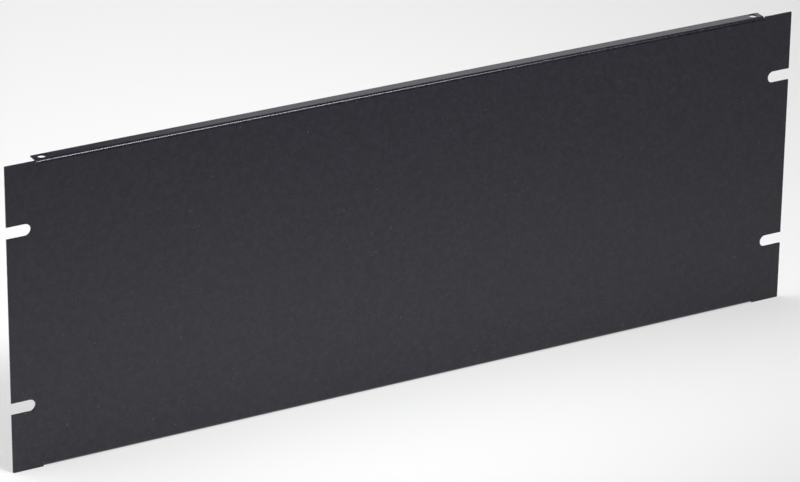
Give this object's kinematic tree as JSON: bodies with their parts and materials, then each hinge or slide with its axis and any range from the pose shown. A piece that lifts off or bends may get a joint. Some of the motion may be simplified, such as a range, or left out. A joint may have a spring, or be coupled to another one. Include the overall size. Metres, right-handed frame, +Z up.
{
  "type": "rack blanking panel",
  "caption": "Flanged blanking panel for a 19 inch equipment rack, folded from one black painted steel sheet, with screw slots open at the side edges.",
  "frame": {"origin": "middle of the four screw places, in the plane where the ears' backs rest on the rack's rails", "axes": "+X along the panel's width, +Y into the rack (the front looks towards -Y), +Z up"},
  "size_m": [0.4826, 0.008, 0.177],
  "materials": {
    "powder_coat": "black powder coat, satin, with a fine grain"
  },
  "bodies": {
    "root": {"panel": "powder_coat"}
  },
  "joints": []
}
